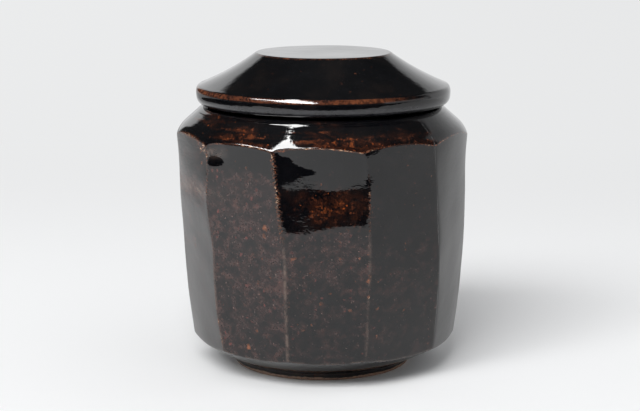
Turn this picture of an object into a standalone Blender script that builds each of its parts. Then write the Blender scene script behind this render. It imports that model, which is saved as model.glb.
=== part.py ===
"""Lidded stoneware jar: a thrown jar with knife-cut sides, and the lid that drops into its mouth.

Metres, +Z up. The origin is the centre of the foot's resting face, and -Y is the front.
"""

import math

import bmesh
import bpy
from mathutils import Vector

MM = 0.001

# Knife-cut sides: the ridges between the facets, at the shoulder, halfway and at the low edge
RIDGE_HEIGHT = 88.2 * MM
RIDGE_RADIUS = 55.0 * MM
RIDGE_BULGE = 0.9 * MM
LOW_RIDGE_HEIGHT = 11.4 * MM
LOW_RIDGE_INSET = 4.8 * MM
LOW_RIDGE_RADIUS = RIDGE_RADIUS - LOW_RIDGE_INSET
MIDDLE_RIDGE_RADIUS = (RIDGE_RADIUS + LOW_RIDGE_RADIUS) / 2 + RIDGE_BULGE

# Degrees round from the front, counted towards +X, where each ridge stands. The cuts wander,
# so a ridge has one place at the shoulder, one halfway down and one at the low edge.
RIDGE_TURNS_TOP = (-49.5, -18.6, 15.0, 48.0, 84.0, 117.0, 149.0, 181.0, 213.5, 245.5, 276.5)
RIDGE_TURNS_MIDDLE = (-48.6, -14.9, 18.4, 52.2, 86.5, 118.0, 151.5, 182.0, 215.0, 248.0, 277.0)
RIDGE_TURNS_LOW = (-46.6, -14.1, 18.5, 55.3, 87.0, 120.5, 152.0, 184.5, 216.0, 247.0, 276.0)

# How far a facet swells out of its flat chord, as a share of the swell of the round pot
FACET_SWELL_TOP_SHARE = 0.5
FACET_SWELL_MIDDLE_SHARE = 0.15
FACET_SWELL_LOW_SHARE = 0.3

# Jar as thrown: mouth, shoulder and foot, each inside the ridges by its own run
SHOULDER_RISE = 10.4 * MM
SHOULDER_RUN = 9.7 * MM
SHOULDER_CORNER_RISE = 2.6 * MM
SHOULDER_CORNER_INSET = 0.8 * MM
SHOULDER_ROUND = 12.0 * MM
MOUTH_HEIGHT = RIDGE_HEIGHT + SHOULDER_RISE
RIM_RADIUS = RIDGE_RADIUS - SHOULDER_RUN
RIM_WIDTH = 5.8 * MM
RIM_ROUND = 1.0 * MM
MOUTH_RADIUS = RIM_RADIUS - RIM_WIDTH
NECK_DEPTH = 5.0 * MM
WALL = 5.0 * MM
INSIDE_SHOULDER_DROP = 2.0 * MM
INSIDE_SHOULDER_ROUND = 7.0 * MM
INSIDE_FLOOR_ROUND = 9.0 * MM
FLOOR = 5.5 * MM
FOOT_INSET = 16.9 * MM
FOOT_RADIUS = LOW_RIDGE_RADIUS - FOOT_INSET
FOOT_WIDTH = 5.2 * MM
FOOT_SIDE = 2.7 * MM
FOOT_FLARE = 0.7 * MM
FOOT_ROUND = 0.5 * MM
RECESS_DEPTH = 3.2 * MM
UNDERCUT_BOW = 1.0 * MM

# Lid: it overhangs the jar's rim, and its cone and disc stand inside its own edge
SEAT_GAP = 0.3 * MM
LID_OVERHANG = 2.7 * MM
LID_RADIUS = RIM_RADIUS + LID_OVERHANG
LID_RISE = 19.6 * MM
LID_EDGE_RISE = 7.1 * MM
LID_EDGE_ROUND = 0.9 * MM
LID_UNDER_INSET = 0.8 * MM
LID_UNDER_RISE = 1.3 * MM
LID_UNDER_ROUND = 3.8 * MM
LID_SEAT_INSET = 5.5 * MM
LID_CONE_RUN = 22.8 * MM
LID_CONE_BOW = 0.72 * MM
DISC_RADIUS = LID_RADIUS - LID_CONE_RUN
DISC_ROUND = 0.8 * MM
LID_WALL = 5.0 * MM
LID_INSIDE_ROUND = 6.0 * MM
FLANGE_CLEARANCE = 1.0 * MM
FLANGE_THICKNESS = 3.5 * MM
FLANGE_DEPTH = 6.0 * MM
FLANGE_ROUND = 1.0 * MM

# How far the uncut pot and the faceted envelope reach past each other
OVERRUN = 4.0 * MM

TURN_STEPS = 72
FACET_COLUMNS = 6
FACET_ROWS = 7
BOW_STEPS = 4
ROUND_STEP = math.radians(32)
SHARP_ANGLE = math.radians(24)
MERGE = 0.01 * MM

JAR_COLOUR = (0.030, 0.015, 0.010, 1.0)
LID_COLOUR = (0.022, 0.012, 0.009, 1.0)
GLAZE_ROUGHNESS = 0.12

FACETS = len(RIDGE_TURNS_TOP)
HALF_FACET = math.pi / FACETS


def mix(low, high, share):
    return low + (high - low) * share


def through(low, middle, top, share):
    """Smooth curve through three values, at a share of the way from the low one to the top one."""
    inner_share = min(max(share, 0), 1)
    bend = middle - mix(low, top, 1 / 2)
    return mix(low, top, share) + bend * 4 * inner_share * (1 - inner_share)


def rounded(corners):
    """Outline through (radius, height, round) corners, with each round drawn as an arc."""
    outline = []
    last = len(corners) - 1
    for index, (radius, height, size) in enumerate(corners):
        corner = Vector((radius, height))
        if size == 0 or index in (0, last):
            outline.append(corner)
            continue
        before = Vector(corners[index - 1][:2]) - corner
        after = Vector(corners[index + 1][:2]) - corner
        room = min(before.length, after.length) / 2
        before.normalize()
        after.normalize()
        opening = before.angle(after)
        reach = min(size / math.tan(opening / 2), room)
        start = corner + before * reach
        end = corner + after * reach
        sweep = math.pi - opening
        bulge = reach * math.tan(sweep / 4)
        outline += bowed(start, end, bulge, corner, max(2, math.ceil(sweep / ROUND_STEP)))
    return outline


def bowed(start, end, bow, towards, steps):
    """Circular arc from start to end whose middle stands bow off the chord, on the side of towards."""
    chord = end - start
    across = Vector((-chord.y, chord.x)).normalized()
    if across.dot(towards - start) < 0:
        across.negate()
    half = chord.length / 2
    radius = (half * half + bow * bow) / (2 * bow)
    centre = (start + end) / 2 + across * (bow - radius)
    sweep = 2 * math.asin(min(half / radius, 1))
    first = start - centre
    turn = math.copysign(sweep, first.x * (end - centre).y - first.y * (end - centre).x)
    points = []
    for step in range(steps + 1):
        angle = turn * step / steps
        points.append(
            centre
            + Vector(
                (
                    first.x * math.cos(angle) - first.y * math.sin(angle),
                    first.x * math.sin(angle) + first.y * math.cos(angle),
                )
            )
        )
    return points


def extended(start, end, radius):
    """The point at a radius on the straight line from start through end."""
    share = (radius - start.x) / (end.x - start.x)
    return start.lerp(end, share)


def turned(name, outline):
    """Solid of revolution about Z, from an outline that starts and ends on the axis."""
    mesh = bpy.data.meshes.new(name)
    points = [(point.x, 0, point.y) for point in outline]
    edges = [(index, index + 1) for index in range(len(points) - 1)]
    mesh.from_pydata(points, edges, [])
    solid = bpy.data.objects.new(name, mesh)
    bpy.context.scene.collection.objects.link(solid)
    screw = solid.modifiers.new("turning", "SCREW")
    screw.axis = "Z"
    screw.angle = math.tau
    screw.steps = TURN_STEPS
    screw.render_steps = TURN_STEPS
    screw.use_merge_vertices = True
    screw.merge_threshold = MERGE
    return solid


def jar_outline():
    """Half section of the thrown jar, before its sides are cut: inside, mouth, outside, foot."""
    inside_top = RIDGE_RADIUS * math.cos(HALF_FACET) - WALL
    inside_low = LOW_RIDGE_RADIUS * math.cos(HALF_FACET) - WALL
    floor_top = RECESS_DEPTH + FLOOR
    blank_radius = RIDGE_RADIUS + OVERRUN
    ridge = Vector((RIDGE_RADIUS, RIDGE_HEIGHT))
    corner = ridge + Vector((-SHOULDER_CORNER_INSET, SHOULDER_CORNER_RISE))
    blank = extended(corner, ridge, blank_radius)
    upper = rounded(
        [
            (0, floor_top, 0),
            (inside_low, floor_top, INSIDE_FLOOR_ROUND),
            (inside_top, RIDGE_HEIGHT - INSIDE_SHOULDER_DROP, INSIDE_SHOULDER_ROUND),
            (MOUTH_RADIUS, MOUTH_HEIGHT - NECK_DEPTH, 0),
            (MOUTH_RADIUS, MOUTH_HEIGHT, RIM_ROUND),
            (RIM_RADIUS, MOUTH_HEIGHT, RIM_ROUND),
            (corner.x, corner.y, SHOULDER_ROUND),
            (blank.x, blank.y, 0),
        ]
    )

    low_ridge = Vector((LOW_RIDGE_RADIUS, LOW_RIDGE_HEIGHT))
    foot_top = Vector((FOOT_RADIUS + FOOT_FLARE, FOOT_SIDE))
    downward = low_ridge - Vector((0, OVERRUN))
    undercut = bowed(low_ridge, foot_top, UNDERCUT_BOW, downward, BOW_STEPS)
    undercut.insert(0, extended(undercut[1], low_ridge, blank_radius))

    foot_inner = FOOT_RADIUS - FOOT_WIDTH
    foot = rounded(
        [
            (foot_top.x, foot_top.y, 0),
            (FOOT_RADIUS, 0, FOOT_ROUND),
            (foot_inner, 0, FOOT_ROUND),
            (foot_inner, RECESS_DEPTH, FOOT_ROUND),
            (0, RECESS_DEPTH, 0),
        ]
    )[1:]
    return upper + undercut + foot


def cut_share(height):
    return (height - LOW_RIDGE_HEIGHT) / (RIDGE_HEIGHT - LOW_RIDGE_HEIGHT)


def ridge_corner(index, height):
    """The point of a ridge at a height. Past its ends a ridge runs on straight."""
    share = cut_share(height)
    radius = through(LOW_RIDGE_RADIUS, MIDDLE_RIDGE_RADIUS, RIDGE_RADIUS, share)
    places = (RIDGE_TURNS_LOW[index], RIDGE_TURNS_MIDDLE[index], RIDGE_TURNS_TOP[index])
    turn = math.radians(through(*places, min(max(share, 0), 1)))
    return Vector((radius * math.sin(turn), -radius * math.cos(turn), height))


def facet_ring(height):
    """One closed level line of the cut sides: a shallow swell between each ridge and the next."""
    swell_shares = (FACET_SWELL_LOW_SHARE, FACET_SWELL_MIDDLE_SHARE, FACET_SWELL_TOP_SHARE)
    swell_share = through(*swell_shares, min(max(cut_share(height), 0), 1))
    ring = []
    for index in range(FACETS):
        start = ridge_corner(index, height)
        end = ridge_corner((index + 1) % FACETS, height)
        chord = end - start
        outward = Vector((chord.y, -chord.x, 0)).normalized()
        radius = start.xy.length
        round_swell = radius - math.sqrt(max(radius * radius - chord.length_squared / 4, 0))
        for column in range(FACET_COLUMNS):
            across = column / FACET_COLUMNS
            swell = round_swell * swell_share * 4 * across * (1 - across)
            ring.append(start.lerp(end, across) + outward * swell)
    return ring


def facet_envelope():
    """Tall prism with the jar's cut sides. The jar is what it shares with the thrown pot."""
    levels = [-OVERRUN]
    for row in range(FACET_ROWS + 1):
        levels.append(mix(LOW_RIDGE_HEIGHT, RIDGE_HEIGHT, row / FACET_ROWS))
    levels.append(MOUTH_HEIGHT + OVERRUN)

    form = bmesh.new()
    rings = []
    for height in levels:
        rings.append([form.verts.new(point) for point in facet_ring(height)])
    count = len(rings[0])
    for lower, upper in zip(rings, rings[1:]):
        for index in range(count):
            after = (index + 1) % count
            form.faces.new((lower[index], lower[after], upper[after], upper[index]))
    form.faces.new(reversed(rings[0]))
    form.faces.new(rings[-1])
    bmesh.ops.recalc_face_normals(form, faces=form.faces)
    mesh = bpy.data.meshes.new("facet_envelope")
    form.to_mesh(mesh)
    form.free()

    envelope = bpy.data.objects.new("facet_envelope", mesh)
    envelope.hide_render = True
    envelope.display_type = "WIRE"
    bpy.context.scene.collection.objects.link(envelope)
    return envelope


def lid_outline():
    """Half section of the lid: top and side, seat, flange, hollow underside."""
    seat = MOUTH_HEIGHT + SEAT_GAP
    top = seat + LID_RISE
    flange_outer = MOUTH_RADIUS - FLANGE_CLEARANCE
    flange_inner = flange_outer - FLANGE_THICKNESS
    flange_low = seat - FLANGE_DEPTH
    disc_edge = Vector((DISC_RADIUS, top))
    edge = Vector((LID_RADIUS, seat + LID_EDGE_RISE))
    slope = math.atan2(disc_edge.y - edge.y, edge.x - disc_edge.x)
    cone = bowed(disc_edge, edge, LID_CONE_BOW, Vector((disc_edge.x, edge.y)), BOW_STEPS)
    cone_corners = [(point.x, point.y, 0) for point in cone[1:-1]]
    ceiling = top - LID_WALL
    ceiling_radius = DISC_RADIUS - LID_WALL * math.tan(slope / 2)
    hollow_side = extended(disc_edge, edge, flange_inner).y - LID_WALL / math.cos(slope)
    return rounded(
        [
            (0, top, 0),
            (disc_edge.x, disc_edge.y, DISC_ROUND),
            *cone_corners,
            (edge.x, edge.y, LID_EDGE_ROUND),
            (LID_RADIUS - LID_UNDER_INSET, seat + LID_UNDER_RISE, LID_UNDER_ROUND),
            (LID_RADIUS - LID_SEAT_INSET, seat, 0),
            (flange_outer, seat, 0),
            (flange_outer, flange_low, FLANGE_ROUND),
            (flange_inner, flange_low, FLANGE_ROUND),
            (flange_inner, hollow_side, LID_INSIDE_ROUND),
            (ceiling_radius, ceiling, LID_INSIDE_ROUND),
            (0, ceiling, 0),
        ]
    )


def glaze(name, colour):
    material = bpy.data.materials.new(name)
    material.use_nodes = True
    surface = material.node_tree.nodes["Principled BSDF"]
    surface.inputs["Base Color"].default_value = colour
    surface.inputs["Roughness"].default_value = GLAZE_ROUGHNESS
    surface.inputs["Metallic"].default_value = 0
    return material


def settle(solid, material):
    """Keeps the modifiers' result as the object's mesh: smooth round faces, crisp ridges."""
    graph = bpy.context.evaluated_depsgraph_get()
    mesh = bpy.data.meshes.new_from_object(solid.evaluated_get(graph))
    mesh.name = solid.name
    solid.modifiers.clear()
    solid.data = mesh
    mesh.materials.clear()
    mesh.materials.append(material)
    mesh.shade_smooth()
    mesh.set_sharp_from_angle(angle=SHARP_ANGLE)


def make_jar():
    jar = turned("jar", jar_outline())
    envelope = facet_envelope()
    cut = jar.modifiers.new("knife_cuts", "BOOLEAN")
    cut.operation = "INTERSECT"
    cut.solver = "EXACT"
    cut.object = envelope
    settle(jar, glaze("jar_glaze", JAR_COLOUR))


def make_lid():
    lid = turned("lid", lid_outline())
    settle(lid, glaze("lid_glaze", LID_COLOUR))


for old in list(bpy.data.objects):
    bpy.data.objects.remove(old)
make_jar()
make_lid()
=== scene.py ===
"""Scene for the lidded stoneware jar: black iron glaze, knife-cut sides, lift-off lid.

Shapes are worked out in millimetres, and -Y is the front.
"""

import math

import bpy
import numpy as np
from mathutils import Matrix, Vector


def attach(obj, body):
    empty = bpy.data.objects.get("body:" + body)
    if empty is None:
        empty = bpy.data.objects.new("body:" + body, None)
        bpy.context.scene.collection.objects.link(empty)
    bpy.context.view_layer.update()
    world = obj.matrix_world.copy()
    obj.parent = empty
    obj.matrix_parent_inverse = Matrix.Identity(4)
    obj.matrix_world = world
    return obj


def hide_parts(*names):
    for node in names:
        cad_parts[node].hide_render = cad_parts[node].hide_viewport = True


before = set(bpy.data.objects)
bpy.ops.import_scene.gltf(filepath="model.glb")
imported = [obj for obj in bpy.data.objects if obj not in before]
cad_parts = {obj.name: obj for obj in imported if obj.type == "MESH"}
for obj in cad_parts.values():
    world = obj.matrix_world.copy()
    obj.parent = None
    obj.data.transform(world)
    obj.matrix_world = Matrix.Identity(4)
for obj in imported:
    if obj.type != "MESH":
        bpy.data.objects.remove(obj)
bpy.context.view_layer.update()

MM = 0.001
rng = np.random.default_rng(11)

# Jar: the outline of the solids, with a flatter undercut. The shoulder's line runs on past the ridges
# by BLANK_REACH, for the cuts to cross.
FACETS = 11
RIDGE_R, RIDGE_Z = 55.0, 88.2
LOW_R, LOW_Z = 50.2, 11.4
CORNER_R, CORNER_Z, CORNER_ROUND = 54.2, RIDGE_Z + 2.6, 12.0
RIM_R = 45.3
MOUTH_R, MOUTH_Z = 39.5, 98.6
NECK_Z = MOUTH_Z - 5.0
SEAT_Z = 98.9
SHOULDER_FROM_R, BLANK_REACH = 46.0, 4.0
UNDERCUT_BOW = 0.3
FOOT_TOP_R, FOOT_TOP_Z = 34.0, 2.7
FOOT_R, FOOT_ROUND = 33.3, 0.5
RECESS_R, RECESS_Z = 28.1, 3.2
WALL, INSIDE_FLOOR_Z = 5.0, 8.7

# Facets that the marks in front stand on. A facet starts at the ridge of its own number.
FAR_LEFT, LEFT, FRONT, RIGHT = 10, 0, 1, 2

# Ridge courses: (height, degrees from the front towards +X), for the four ridges that face the
# front. The others follow the solids' three places: low, halfway, top.
COURSES = {
    0: ((11, -47.2), (31, -48.9), (50, -48.4), (59, -49.6), (68, -50.9), (79, -49.8), (89, -49.6)),
    1: ((11, -14.3), (35, -14.5), (49, -14.4), (53.4, -14.9), (57, -15.0), (60.7, -15.9),
        (71.5, -17.0), (82, -18.1), (89, -18.7)),
    2: ((11, 18.3), (31, 18.3), (45.8, 18.6), (60.5, 18.2), (71.4, 18.0), (80, 17.5), (85.8, 16.6),
        (89, 14.6)),
    3: ((11, 54.4), (30, 54.0), (49, 52.2), (68, 50.4), (80, 49.0), (89.3, 47.6)),
}
TURNS_TOP = (-49.5, -18.6, 15.0, 48.0, 84.0, 117.0, 149.0, 181.0, 213.5, 245.5, 276.5)
TURNS_MIDDLE = (-48.6, -14.9, 18.4, 52.2, 86.5, 118.0, 151.5, 182.0, 215.0, 248.0, 277.0)
TURNS_LOW = (-46.6, -14.1, 18.5, 55.3, 87.0, 120.5, 152.0, 184.5, 216.0, 247.0, 276.0)

# Radius of the ridges by height, and how far the body leans to +X lower down
RIDGE_RADII = ((0, 47.5), (11.4, 50.0), (15.5, 50.6), (18, 50.95), (25, 51.75), (34, 52.6), (43, 53.3),
               (54.5, 53.8), (66, 54.2), (76, 54.35), (80, 54.45), (83, 54.6), (85.5, 54.8),
               (88.2, 55.0), (99, 55.8))
LEAN = ((0, 0.75), (25, 0.72), (43, 0.68), (54, 0.55), (66, 0.3), (80, 0.1), (99, 0.0))


def smooth(edge0, edge1, x):
    """0 at the first edge and 1 at the second, with soft ends."""
    t = np.clip((x - edge0) / (edge1 - edge0), 0, 1)
    return t * t * (3 - 2 * t)


def bump(x, centre, width):
    return np.exp(-(((x - centre) / width) ** 2))


def curve(points, x):
    """Smooth curve through (x, y) points, with no overshoot."""
    px, py = np.array(points, float).T
    slopes = np.diff(py) / np.diff(px)
    knots = np.concatenate([[slopes[0]], (slopes[:-1] + slopes[1:]) / 2, [slopes[-1]]])
    flat = np.sign(slopes[:-1]) != np.sign(slopes[1:])
    knots[1:-1][flat] = 0
    x = np.clip(x, px[0], px[-1])
    index = np.clip(np.searchsorted(px, x, side="right") - 1, 0, len(px) - 2)
    step = (px[1:] - px[:-1])[index]
    t = (x - px[index]) / step
    rest = 1 - t
    return (
        py[index] * rest * rest * (1 + 2 * t)
        + knots[index] * step * t * rest * rest
        + py[index + 1] * t * t * (3 - 2 * t)
        - knots[index + 1] * step * t * t * rest
    )


class Swell:
    """Soft uneven relief: a few plane waves in random directions."""

    def __init__(self, count, shortest, longest):
        lengths = rng.uniform(shortest, longest, count)
        turns = rng.normal(size=(count, 3))
        turns /= np.linalg.norm(turns, axis=1)[:, None]
        self.waves = turns * (2 * np.pi / lengths)[:, None]
        self.phases = rng.uniform(0, 2 * np.pi, count)
        self.scale = 1 / math.sqrt(count / 2)

    def __call__(self, points):
        total = 0
        for wave, phase in zip(self.waves, self.phases):
            total = total + np.cos(points @ wave + phase)
        return total * self.scale


def arc(corner, before, after, size, steps=14):
    """Rounded corner of an outline."""
    corner, before, after = (np.array(p, float) for p in (corner, before, after))
    u = (before - corner) / np.linalg.norm(before - corner)
    v = (after - corner) / np.linalg.norm(after - corner)
    half = math.acos(float(np.clip(u @ v, -1, 1))) / 2
    reach = size / math.tan(half)
    centre = corner + (u + v) / np.linalg.norm(u + v) * size / math.sin(half)
    first = corner + u * reach - centre
    last = corner + v * reach - centre
    start = math.atan2(first[1], first[0])
    sweep = (math.atan2(last[1], last[0]) - start + math.pi) % (2 * math.pi) - math.pi
    turn = start + sweep * np.linspace(0, 1, steps)
    return np.c_[centre[0] + size * np.cos(turn), centre[1] + size * np.sin(turn)]


def outline(corners):
    """Outline through (radius, height, round) corners."""
    rows = []
    for index, (radius, height, size) in enumerate(corners):
        if size == 0:
            rows.append(np.array([[radius, height]], float))
        else:
            rows.append(arc((radius, height), corners[index - 1][:2], corners[index + 1][:2], size))
    return np.concatenate(rows)


def respaced(line, spacing):
    """The outline with points at most a spacing apart."""
    rows = []
    for start, end in zip(line[:-1], line[1:]):
        count = max(1, math.ceil(np.linalg.norm(end - start) / spacing))
        rows.append(start + (end - start) * (np.arange(count) / count)[:, None])
    rows.append(line[-1:])
    return np.concatenate(rows)


def along(line):
    """Distance of each point along a line."""
    return np.concatenate([[0], np.cumsum(np.linalg.norm(np.diff(line, axis=0), axis=1))])


def sampled(line, length, places):
    """Points of a line at some distances along it."""
    return np.stack([np.interp(places, length, column) for column in line.T], axis=1)


def blurred(line, spacing, soft, reach):
    """Evenly spaced points, each averaged with its neighbours, as glaze rounds a corner."""
    weights = np.exp(-0.5 * (np.arange(-reach, reach + 1) * spacing / soft) ** 2)
    weights /= weights.sum()
    padded = np.pad(line, ((reach, reach), (0, 0)), mode="reflect", reflect_type="odd")
    return np.stack([np.convolve(column, weights, mode="valid") for column in padded.T], axis=1)


def turned(line, turns):
    """Grid of an outline at a column of angles, in radians from the front."""
    radius, level = line.T
    return np.stack([radius * np.sin(turns), -radius * np.cos(turns), level + 0 * turns], axis=2)


def normals_of(grid, row, outward):
    """Unit normals of a grid, on the outward side, which is given for one row of its first column."""
    around = np.roll(grid, -1, axis=0) - np.roll(grid, 1, axis=0)
    normals = np.cross(around, np.gradient(grid, axis=1))
    normals /= np.maximum(np.linalg.norm(normals, axis=2), 1e-9)[:, :, None]
    return -normals if normals[0, row] @ outward < 0 else normals


def add_object(name, data):
    made = bpy.data.objects.new(name, data)
    bpy.context.scene.collection.objects.link(made)
    return made


def ring_mesh(name, grid, attributes, low_pole, high_pole):
    """Closed-round mesh from grid[column, row, xyz], with values per point.

    A fan of faces joins the first row to low_pole, and another the last row to high_pole.
    """
    columns, rows = grid.shape[:2]
    points = grid.reshape(-1, 3) * MM
    index = np.arange(columns * rows).reshape(columns, rows)
    after = np.roll(index, -1, axis=0)
    quads = np.stack([index[:, :-1], index[:, 1:], after[:, 1:], after[:, :-1]], axis=-1).reshape(-1, 4)
    faces = quads.tolist()
    extra = []
    for pole, row, turn in ((low_pole, 0, 1), (high_pole, rows - 1, -1)):
        place = len(points) + len(extra)
        extra.append(np.array(pole) * MM)
        for a, b in zip(index[:, row][::turn], after[:, row][::turn]):
            faces.append([place, int(a), int(b)] if turn > 0 else [place, int(b), int(a)])
    points = np.concatenate([points, np.array(extra)])
    mesh = bpy.data.meshes.new(name)
    mesh.from_pydata(points.tolist(), [], faces)
    for key, values in attributes.items():
        layer = mesh.attributes.new(key, "FLOAT", "POINT")
        flat = np.concatenate([values.reshape(-1), np.zeros(len(extra))])
        layer.data.foreach_set("value", flat.astype(np.float32))
    mesh.shade_smooth()
    mesh.update()
    return add_object(name, mesh)


# Jar columns: close together beside each ridge, wider apart across a facet. The front facet has a
# finer stretch, where the tongue ends.
SIDE_STEPS = (0, 0.14, 0.3, 0.5, 0.75, 1.1, 1.6, 2.3, 3.2, 4.3, 5.6, 7.1, 8.8, 10.6, 12.5, 14.4)
HALF_CHORD = 15.4
shares = np.array(SIDE_STEPS) / (2 * HALF_CHORD)
plain_share = np.concatenate([shares, [0.5], (1 - shares[1:])[::-1]])
fine_share = np.concatenate([plain_share[plain_share < 0.02], np.linspace(0.02, 0.42, 36),
                             plain_share[plain_share > 0.43]])
facet_shares = [fine_share if facet == FRONT else plain_share for facet in range(FACETS)]
column_facet = np.repeat(np.arange(FACETS), [len(row) for row in facet_shares])
column_share = np.concatenate(facet_shares)


def share_of_cut(z):
    return np.clip((z - LOW_Z) / (RIDGE_Z - LOW_Z), 0, 1)


def through(low, middle, top, t):
    """Smooth curve through three values, at a share of the way from the low one to the top one."""
    return low + (top - low) * t + (middle - (low + top) / 2) * 4 * t * (1 - t)


def ridge_turn(index, z):
    """Degrees from the front of one ridge, for an array of heights."""
    if index in COURSES:
        return curve(COURSES[index], z)
    t = share_of_cut(z)
    waver = 0.35 * np.sin(z / 9.5 + 2.1 * index) * np.sin(np.pi * t)
    return through(TURNS_LOW[index], TURNS_MIDDLE[index], TURNS_TOP[index], t) + waver


def ridge_point(index, z):
    """Where a ridge stands in the plane, for an array of heights."""
    turn = np.radians(ridge_turn(index, z))
    radius = curve(RIDGE_RADII, z) + curve(LEAN, z) * np.sin(turn)
    return np.stack([radius * np.sin(turn), -radius * np.cos(turn)], axis=-1)


# Tilts in degrees where the blade turned: a waver, and a tongue and a spot that mirror a dark place
WAVER_TILT, TONGUE_TILT, SPOT_TILT = 1.6, 4.6, -6.5
SPOT_Z = 83.0


def facet_relief(facet, share, z):
    """How far the blade's waver stands a facet out from its plain course."""
    own = 0.06 * np.sin(z / 6.3 + 1.7 * facet) + 0.03 * np.sin(z / 3.1 + 0.9 * facet + 5 * share)
    own = own * np.sin(np.pi * share_of_cut(z))
    if facet == FAR_LEFT:
        own = own + tilt_sum(z, WAVER_TILT * np.sin(z / 2.9 + 2.0 * share) * smooth(50, 62, z))
    if facet == FRONT:
        step = 1.8 * smooth(0.2, 0.7, share)
        deepest = 1.7 + 1.4 * smooth(0.25, 0.6, share)
        tilt = (
            1.5 * smooth(73.2, 75.6, z)
            - deepest * smooth(58.6 + step, 61.4 + step, z) * smooth(75.6, 73.2, z)
            + 1.0 * smooth(60.5, 58.5, z) * smooth(48.0, 56.0, z)
        )
        reach = curve(DARK_TONGUE, z) + 0.015 * np.sin(z * 4.3) + 0.01 * np.sin(z * 9.1)
        tilt = tilt - TONGUE_TILT * smooth(0.035, -0.01, share - reach) * smooth(77.6, 78.4, z)
        own = own * 0.4 + tilt_sum(z, tilt)
    if facet == LEFT:
        end = 0.37 - 0.06 * abs(z - SPOT_Z) + 0.02 * np.sin(z * 7)
        spot = smooth(end, end - 0.07, share) * smooth(80.9, 81.7, z) * smooth(85.4, 84.6, z)
        own = own + tilt_sum(z, SPOT_TILT * spot)
    return own


def tilt_sum(z, degrees):
    """Relief whose slope is a tilt in degrees (positive leans out at the top), zero at the low end."""
    order = np.argsort(z)
    heights, slopes = z[order], np.tan(np.radians(degrees[order]))
    steps = np.diff(heights) * (slopes[1:] + slopes[:-1]) / 2
    total = np.empty_like(z)
    total[order] = np.concatenate([[0], np.cumsum(steps)])
    return total


# How far the upright tongue reaches across the front facet, by height
DARK_TONGUE = ((77.0, -0.1), (77.8, 0.04), (78.5, 0.12), (79.4, 0.20), (80.4, 0.29), (81.3, 0.46),
               (82.2, 0.38), (83.6, 0.29), (85.2, 0.22), (87.2, 0.14), (88.2, -0.1))

# How far a facet swells out of its chord (low, middle, top), and how soft each ridge is
SWELL_SHARES = (0.3, 0.15, 0.5)
RIDGE_SOFTNESS = (0.30, 0.42, 0.36, 0.7, 0.4, 0.4, 0.3, 0.45, 0.35, 0.4, 0.4)
RIDGE_SLOPE = math.tan(math.pi / FACETS * 1.14)


def facet_points(facet, share, z):
    """Points of one facet column at an array of heights."""
    start = ridge_point(facet, z)
    after = (facet + 1) % FACETS
    end = ridge_point(after, z)
    chord = end - start
    length = np.linalg.norm(chord, axis=-1)
    outward = np.stack([chord[:, 1], -chord[:, 0]], axis=-1) / length[:, None]
    radius = np.linalg.norm(start, axis=-1)
    swell = radius - np.sqrt(radius**2 - length**2 / 4)
    swell = swell * through(*SWELL_SHARES, share_of_cut(z)) * 4 * share * (1 - share)
    ease = 4 * share * (1 - share)
    relief = facet_relief(facet, share, z) * min(1, 4 * ease)
    worn = 0
    for ridge, gap in ((facet, share * length), (after, (1 - share) * length)):
        soft = RIDGE_SOFTNESS[ridge] * (1 + 0.3 * np.sin(z / 5.2 + 3 * ridge))
        worn = worn + (np.sqrt(gap**2 + soft**2) - gap) * RIDGE_SLOPE
    flat = start + chord * share + outward * (swell + relief - worn)[:, None]
    return np.concatenate([flat, z[:, None]], axis=1)


def crossing(heights, gap):
    """Height where a gap changes sign from minus to plus, for one column."""
    index = int(np.argmax(gap > 0))
    low, high = gap[index - 1], gap[index]
    return heights[index - 1] + (heights[index] - heights[index - 1]) * (-low) / (high - low)


# Outlines of the thrown pot: mouth and shoulder; undercut, foot and recess
slope_end = (CORNER_Z - RIDGE_Z) / (CORNER_R - RIDGE_R)
blank = (RIDGE_R + BLANK_REACH, RIDGE_Z + slope_end * BLANK_REACH)
upper_line = respaced(outline([
    (MOUTH_R, NECK_Z, 0),
    (MOUTH_R, MOUTH_Z, 1.0),
    (RIM_R, MOUTH_Z, 1.0),
    (CORNER_R, CORNER_Z, CORNER_ROUND),
    (*blank, 0),
]), 0.08)
undercut_start, undercut_end = np.array((LOW_R, LOW_Z)), np.array((FOOT_TOP_R, FOOT_TOP_Z))
way = undercut_end - undercut_start
out = np.array((-way[1], way[0])) / np.linalg.norm(way)
steps = np.linspace(-0.25, 1, 160)[:, None]
undercut_line = undercut_start + np.where(
    steps < 0,
    (way + out * 4 * UNDERCUT_BOW) * steps,
    way * steps + out * UNDERCUT_BOW * 4 * steps * (1 - steps),
)
foot_line = respaced(outline([
    (FOOT_TOP_R, FOOT_TOP_Z, 0),
    (FOOT_R, 0, FOOT_ROUND),
    (RECESS_R, 0, FOOT_ROUND),
    (RECESS_R, RECESS_Z, FOOT_ROUND),
    (0.6, RECESS_Z, 0),
]), 0.5)
shoulder_start = int(np.argmax(upper_line[:, 0] > SHOULDER_FROM_R))


def lean_at(z, sine):
    """How far the leaning body carries a point outwards, fading out at the foot."""
    return curve(LEAN, z) * sine * smooth(2.0, LOW_Z, z)


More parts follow.
